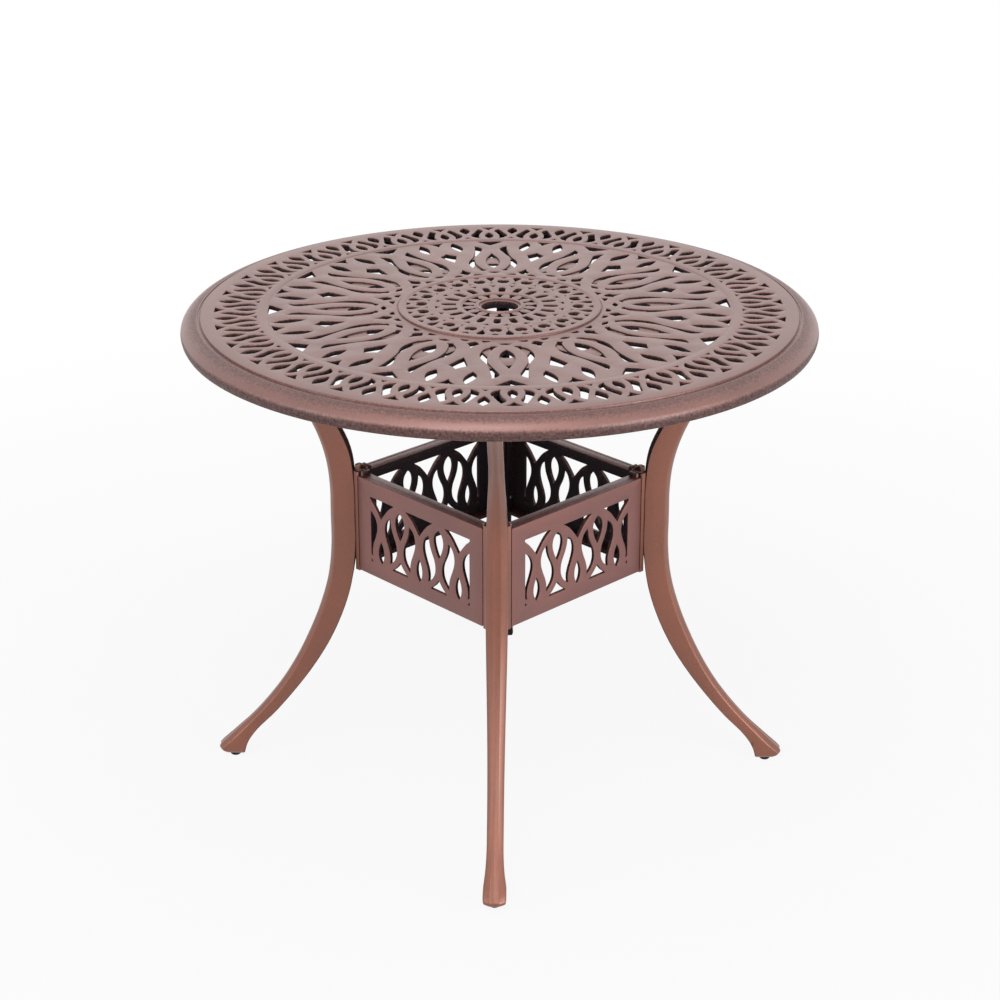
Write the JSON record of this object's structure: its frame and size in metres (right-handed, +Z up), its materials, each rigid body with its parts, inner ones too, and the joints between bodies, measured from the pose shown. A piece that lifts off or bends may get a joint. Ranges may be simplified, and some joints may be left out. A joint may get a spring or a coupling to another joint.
{
  "type": "umbrella table",
  "caption": "Round cast patio table with an openwork top, an umbrella hole, curved legs joined by openwork side panels, and screw glides.",
  "frame": {"origin": "centre of the footprint on the floor, under the umbrella hole", "axes": "+Z up, -Y through the front leg, +X through the right leg"},
  "size_m": [0.9143, 0.9144, 0.7388],
  "materials": {
    "cast_top": "satin bronze powder coat, greyer where it faces up",
    "cast_leg": "satin bronze powder coat",
    "cast_panel": "satin bronze powder coat",
    "bolt_steel": "zinc plated, darkened",
    "glide_plastic": "matt black"
  },
  "bodies": {
    "table": {"table_top": "cast_top", "leg_front": "cast_leg", "leg_right": "cast_leg", "leg_back": "cast_leg", "leg_left": "cast_leg", "panel_front_right": "cast_panel", "panel_back_right": "cast_panel", "panel_back_left": "cast_panel", "panel_front_left": "cast_panel", "leg_bolts": "bolt_steel", "panel_bolts": "bolt_steel"},
    "glide_front": {"glide_pad_front": "glide_plastic", "glide_stem_front": "bolt_steel"},
    "glide_right": {"glide_pad_right": "glide_plastic", "glide_stem_right": "bolt_steel"},
    "glide_back": {"glide_pad_back": "glide_plastic", "glide_stem_back": "bolt_steel"},
    "glide_left": {"glide_pad_left": "glide_plastic", "glide_stem_left": "bolt_steel"}
  },
  "joints": [
    {"name": "glide_front_travel", "type": "slide", "parent": "table", "child": "glide_front", "axis": [0, 0, -1], "range_m": [0, 0.008]},
    {"name": "glide_right_travel", "type": "slide", "parent": "table", "child": "glide_right", "axis": [0, 0, -1], "range_m": [0, 0.008]},
    {"name": "glide_back_travel", "type": "slide", "parent": "table", "child": "glide_back", "axis": [0, 0, -1], "range_m": [0, 0.008]},
    {"name": "glide_left_travel", "type": "slide", "parent": "table", "child": "glide_left", "axis": [0, 0, -1], "range_m": [0, 0.008]}
  ]
}
